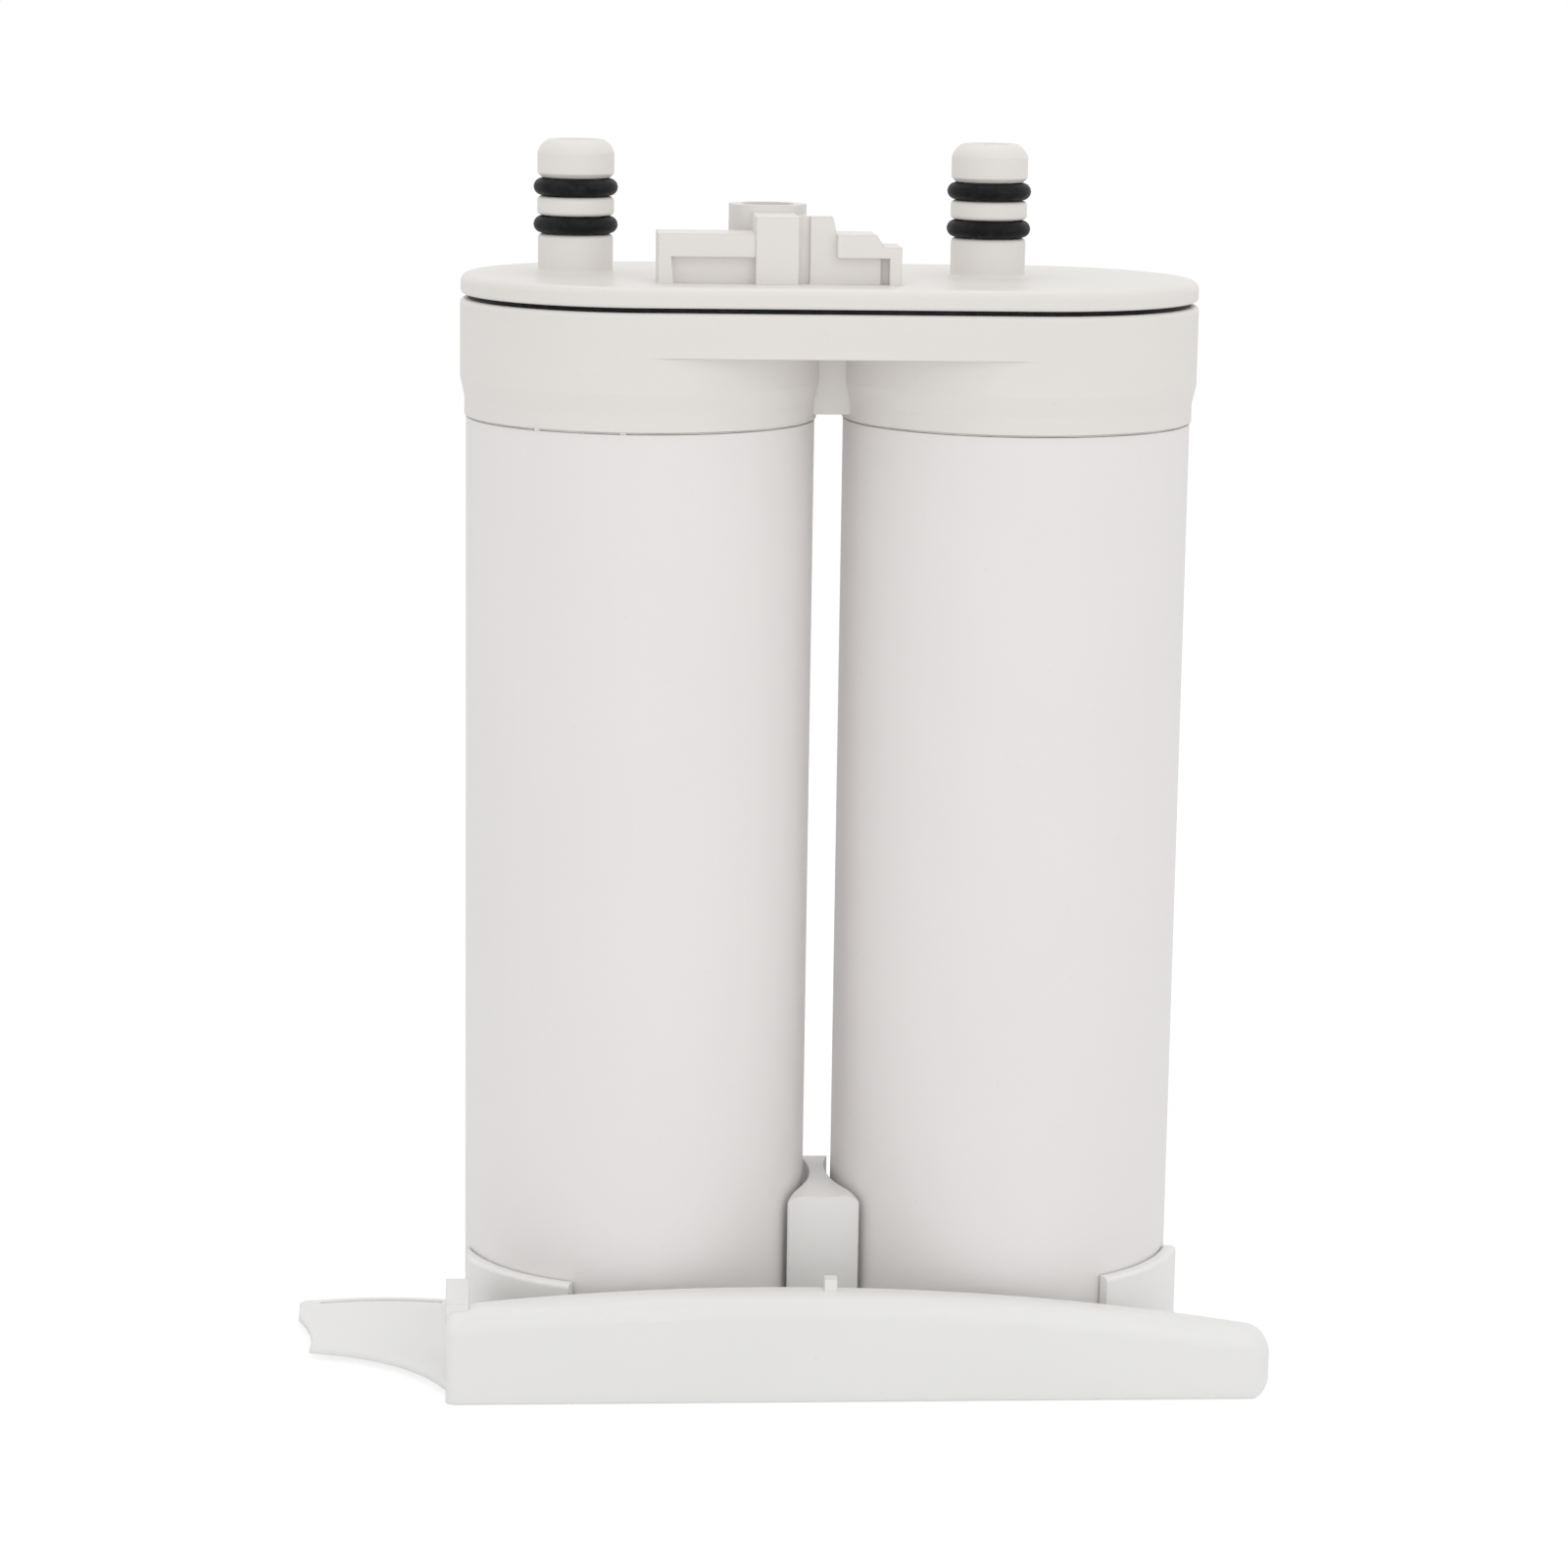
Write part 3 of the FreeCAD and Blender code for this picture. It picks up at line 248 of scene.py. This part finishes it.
finishes = {
    "cover_plastic": mouldedPlastic("whiteCoverPlastic", coverLook),
    "cradle_plastic": mouldedPlastic("cradlePlastic", cradleLook),
    "head_plastic": mouldedPlastic("warmHeadPlastic", headLook),
    "canister_plastic": mouldedPlastic("canisterPlastic", canisterLook),
    "seal_rubber": sealRubber("greasedRubber", rubberLook),
    "carbon_block": sinteredCarbon("sinteredCarbon", carbonLook),
    "prefilter_felt": fibreFelt("prefilterFelt", feltLook),
    "core_plastic": mouldedPlastic("coreNaturalPlastic", coreLook),
    "cap_plastic": mouldedPlastic("capNaturalPlastic", capLook),
}

for part in frame["record"]["subparts"]:
    node = frame["nodes"][part["node"]]
    finish = finishes[part["material_slot"]]
    if not node.data.materials:
        node.data.materials.append(finish)
    for place in range(len(node.data.materials)):
        node.data.materials[place] = finish
print("materials on CAD nodes:", len(finishes))


smoothBelow = math.radians(35)    # edges sharper than this stay crisp


def nothingSelected():
    if bpy.context.object and bpy.context.object.mode != "OBJECT":
        bpy.ops.object.mode_set(mode="OBJECT")
    bpy.ops.object.select_all(action="DESELECT")


def pickEdges(piece, wanted):
    # in edit mode afterwards, with only the edges whose two ends are wanted selected
    bpy.ops.object.mode_set(mode="EDIT")
    bpy.ops.mesh.select_mode(type="EDGE")
    bpy.ops.mesh.select_all(action="DESELECT")
    bpy.ops.object.mode_set(mode="OBJECT")
    points = piece.data.vertices
    for edge in piece.data.edges:
        edge.select = all(wanted(points[end].co) for end in edge.vertices)
    bpy.ops.object.mode_set(mode="EDIT")


def finishPiece(piece, name, body, slot, *replaced):
    bpy.ops.object.mode_set(mode="OBJECT")
    piece.name = name
    piece.data.name = name
    bpy.ops.object.transform_apply(location=True, rotation=True, scale=True)
    bpy.ops.object.shade_smooth_by_angle(angle=smoothBelow)
    piece.data.materials.clear()
    piece.data.materials.append(finishes[slot])
    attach(piece, body)
    if replaced:
        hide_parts(*replaced)


sealSizes = {"around": 128, "section": 28, "flashWide": 0.00016, "flashProud": 0.00005,
             "flashSegments": 2, "pickShare": 0.01}    # pickShare is of the section


def sealRing(node, name):
    # a round-section ring with the thin flash line that its mould leaves
    low, high = (Vector(corner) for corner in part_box(node))
    middle = (low + high) / 2
    section = (high.z - low.z) / 2
    outer = (high.x - low.x) / 2
    nothingSelected()
    bpy.ops.mesh.primitive_torus_add(
        major_radius=outer - section - sealSizes["flashProud"], minor_radius=section,
        major_segments=sealSizes["around"], minor_segments=sealSizes["section"],
        location=middle)
    ring = bpy.context.object
    near = section * sealSizes["pickShare"]
    reach = outer - sealSizes["flashProud"] - near
    pickEdges(ring, lambda co: math.hypot(co.x, co.y) > reach)
    bpy.ops.mesh.bevel(offset=sealSizes["flashWide"],
                       segments=sealSizes["flashSegments"], affect="EDGES")
    bpy.ops.object.mode_set(mode="OBJECT")
    pickEdges(ring, lambda co: abs(co.z) < near and math.hypot(co.x, co.y) > reach)
    swell = outer / (outer - sealSizes["flashProud"])
    bpy.ops.transform.resize(value=(swell, swell, 1), center_override=middle)
    finishPiece(ring, name, "cartridge", "seal_rubber", node)


for port in ("inlet", "outlet"):
    for tier in ("upper", "lower"):
        sealRing(port + "_" + tier + "_ring", port + tier.title() + "Seal")
print("seal rings modelled")

weldSizes = {"around": 240, "section": 10, "inset": 0.00052, "wide": 0.0004,
             "tall": 0.00019, "rise": 0.0002, "ripple": 0.00012, "rippleScale": 0.0035}


def weldFlash(shellNode, name):
    # the uneven bead squeezed out where a canister is spun on to the head
    low, high = (Vector(corner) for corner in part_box(shellNode))
    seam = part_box("manifold_head")[0][2] + weldSizes["rise"]
    radius = (high.x - low.x) / 2 - weldSizes["inset"]
    nothingSelected()
    bpy.ops.mesh.primitive_torus_add(
        major_radius=radius, minor_radius=weldSizes["wide"],
        major_segments=weldSizes["around"], minor_segments=weldSizes["section"],
        location=((low.x + high.x) / 2, (low.y + high.y) / 2, seam))
    bead = bpy.context.object
    bpy.ops.object.mode_set(mode="EDIT")
    bpy.ops.mesh.select_all(action="SELECT")
    bpy.ops.transform.resize(value=(1, 1, weldSizes["tall"] / weldSizes["wide"]))
    bpy.ops.object.mode_set(mode="OBJECT")
    clouds = bpy.data.textures.new(name + "Ripple", "CLOUDS")
    clouds.noise_scale = weldSizes["rippleScale"]
    ripple = bead.modifiers.new("ripple", "DISPLACE")
    ripple.texture = clouds
    ripple.texture_coords = "LOCAL"
    ripple.strength = weldSizes["ripple"]
    ripple.mid_level = 0.5
    bpy.ops.object.modifier_apply(modifier="ripple")
    finishPiece(bead, name, "cartridge", "head_plastic")


weldFlash("left_shell", "leftWeldFlash")
weldFlash("right_shell", "rightWeldFlash")
print("weld beads modelled")


studio = {
    "floorHalf": 6.0,      # metres
    "floorDrop": 0.0002,   # below the object, so that the two faces don't flicker
    "floorColour": (0.92, 0.92, 0.92),
    "floorRough": 0.9,
    "floorGloss": 0.1,
    "floorGlow": 0.72,     # share of the floor that is plain white to the camera
    "floorWhite": 1.12,
    "worldStrength": 0.78,
    "shineWhite": 0.9,     # share of plain white that reflections see in the room
    "lampAim": (0, 0, 0.11),
}

softboxes = {              # place and size in metres, power in watts
    "keySoftbox": {"place": (0.65, -1.25, 0.85), "size": (1.0, 1.0), "power": 1.7},
    "fillSoftbox": {"place": (-1.0, -1.0, 0.6), "size": (0.9, 1.2), "power": 0.4},
    "topSoftbox": {"place": (0.0, 0.1, 1.4), "size": (1.2, 1.2), "power": 2.8},
    "lowSoftbox": {"place": (0.0, -1.2, 0.12), "size": (1.4, 0.4), "power": 0.8},
}


def whiteWorld():
    world = bpy.data.worlds.new("softWhiteRoom")
    scene.world = world
    world.use_nodes = True
    tree = world.node_tree
    background = tree.nodes["Background"]
    rays = tree.nodes.new("ShaderNodeLightPath")
    seen, glossy = (Signal(tree, rays.outputs[name])
                    for name in ("Is Camera Ray", "Is Glossy Ray"))
    plain = seen.maths("MAXIMUM", seen, glossy * studio["shineWhite"])
    strength = plain * (1.0 - studio["worldStrength"]) + studio["worldStrength"]
    feed(background, "Strength", strength)
    background.inputs["Color"].default_value = plainWhite


def whiteFloor():
    nothingSelected()
    bpy.ops.mesh.primitive_plane_add(
        size=2 * studio["floorHalf"], location=(0, 0, cadBox[0][2] - studio["floorDrop"]))
    floor = bpy.context.object
    floor.name = "paleFloor"
    bpy.ops.object.transform_apply(location=True)
    material = bpy.data.materials.new("paleFloorPaint")
    material.use_nodes = True
    tree = material.node_tree
    shader = tree.nodes["Principled BSDF"]
    shader.inputs["Base Color"].default_value = (*studio["floorColour"], 1)
    shader.inputs["Roughness"].default_value = studio["floorRough"]
    shader.inputs["Specular IOR Level"].default_value = studio["floorGloss"]
    seen = Signal(tree, tree.nodes.new("ShaderNodeLightPath").outputs["Is Camera Ray"])
    glow = seen.node("ShaderNodeEmission", None,
                     {"Color": plainWhite, "Strength": studio["floorWhite"]})
    paint = Signal(tree, shader.outputs[0])
    mixed = seen.node("ShaderNodeMixShader", None,
                      {0: seen * studio["floorGlow"], 1: paint, 2: glow})
    feed(tree.nodes["Material Output"], "Surface", mixed)
    floor.data.materials.append(material)


def softLamp(name, box):
    lamp = bpy.data.lights.new(name, "AREA")
    lamp.shape = "RECTANGLE"
    lamp.size, lamp.size_y = box["size"]
    lamp.energy = box["power"]
    holder = bpy.data.objects.new(name, lamp)
    scene.collection.objects.link(holder)
    holder.location = box["place"]
    aim = Vector(studio["lampAim"]) - Vector(box["place"])
    holder.rotation_euler = aim.to_track_quat("-Z", "Y").to_euler()


whiteWorld()
whiteFloor()
for name, box in softboxes.items():
    softLamp(name, box)
print("floor, room and lamps placed")


camera = {
    "lens": 100.5, "sensor": 36.0,                  # millimetres
    "place": (-0.0645, -0.82805, 0.26861), "nearest": 0.05,
    "turn": 3.94, "down": 10.83, "roll": 0.84,      # degrees
}


def aimedCamera():
    turn, down, roll = (math.radians(camera[way]) for way in ("turn", "down", "roll"))
    forward = Vector((math.sin(turn) * math.cos(down),
                      math.cos(turn) * math.cos(down), -math.sin(down)))
    flat = Vector((math.cos(turn), -math.sin(turn), 0))     # right, before the roll
    upright = flat.cross(forward)
    right = flat * math.cos(roll) + upright * math.sin(roll)
    up = upright * math.cos(roll) - flat * math.sin(roll)
    lens = bpy.data.cameras.new("frontCamera")
    lens.lens = camera["lens"]
    lens.sensor_width = camera["sensor"]
    lens.clip_start = camera["nearest"]
    holder = bpy.data.objects.new("frontCamera", lens)
    scene.collection.objects.link(holder)
    turned = Matrix((right, up, -forward)).transposed().to_4x4()
    holder.matrix_world = Matrix.Translation(camera["place"]) @ turned
    scene.camera = holder


aimedCamera()
scene.view_settings.view_transform = "Standard"
print("camera set")
